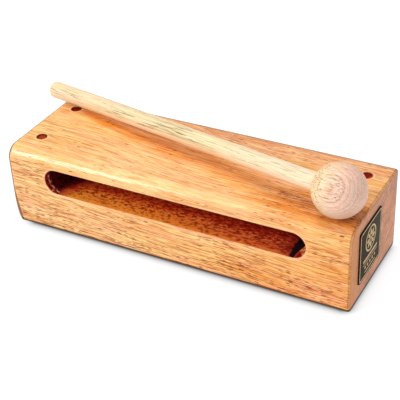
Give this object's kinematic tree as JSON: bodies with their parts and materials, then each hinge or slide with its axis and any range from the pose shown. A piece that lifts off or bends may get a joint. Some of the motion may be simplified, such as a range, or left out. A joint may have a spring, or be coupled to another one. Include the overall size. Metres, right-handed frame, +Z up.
{
  "type": "wood block with beater",
  "caption": "Hardwood percussion block with a blind sound slot along its front, dark dowel ends in its top and a plain plate on one end, with its ball-headed beater lying on it.",
  "frame": {"origin": "middle of the block's underside, on the surface that it rests on", "axes": "+X along the block to the end with the plate, -Y out of the slot's mouth, +Z up"},
  "size_m": [0.2126, 0.0664, 0.0763],
  "materials": {
    "lacquered_wood": "clear satin lacquer over warm orange-tan hardwood, fine grain along the length",
    "dark_dowel": "dark red-brown end grain under the same lacquer",
    "label_plate": "thin printed plate, dark green field with a black edge and thin gold lines, no text",
    "raw_stick_wood": "unfinished pale straight-grained dowel",
    "raw_ball_wood": "unfinished pale pinkish turned wood with growth rings"
  },
  "bodies": {
    "block": {"block_body": "lacquered_wood", "dowel_front_left": "dark_dowel", "dowel_back_left": "dark_dowel", "dowel_front_right": "dark_dowel", "dowel_back_right": "dark_dowel", "end_label": "label_plate"},
    "beater": {"beater_stick": "raw_stick_wood", "beater_head": "raw_ball_wood"}
  },
  "joints": [
    {"name": "beater_lift", "type": "slide", "parent": "block", "child": "beater", "axis": [0, 0, 1], "range_m": [0, 0.1]}
  ]
}
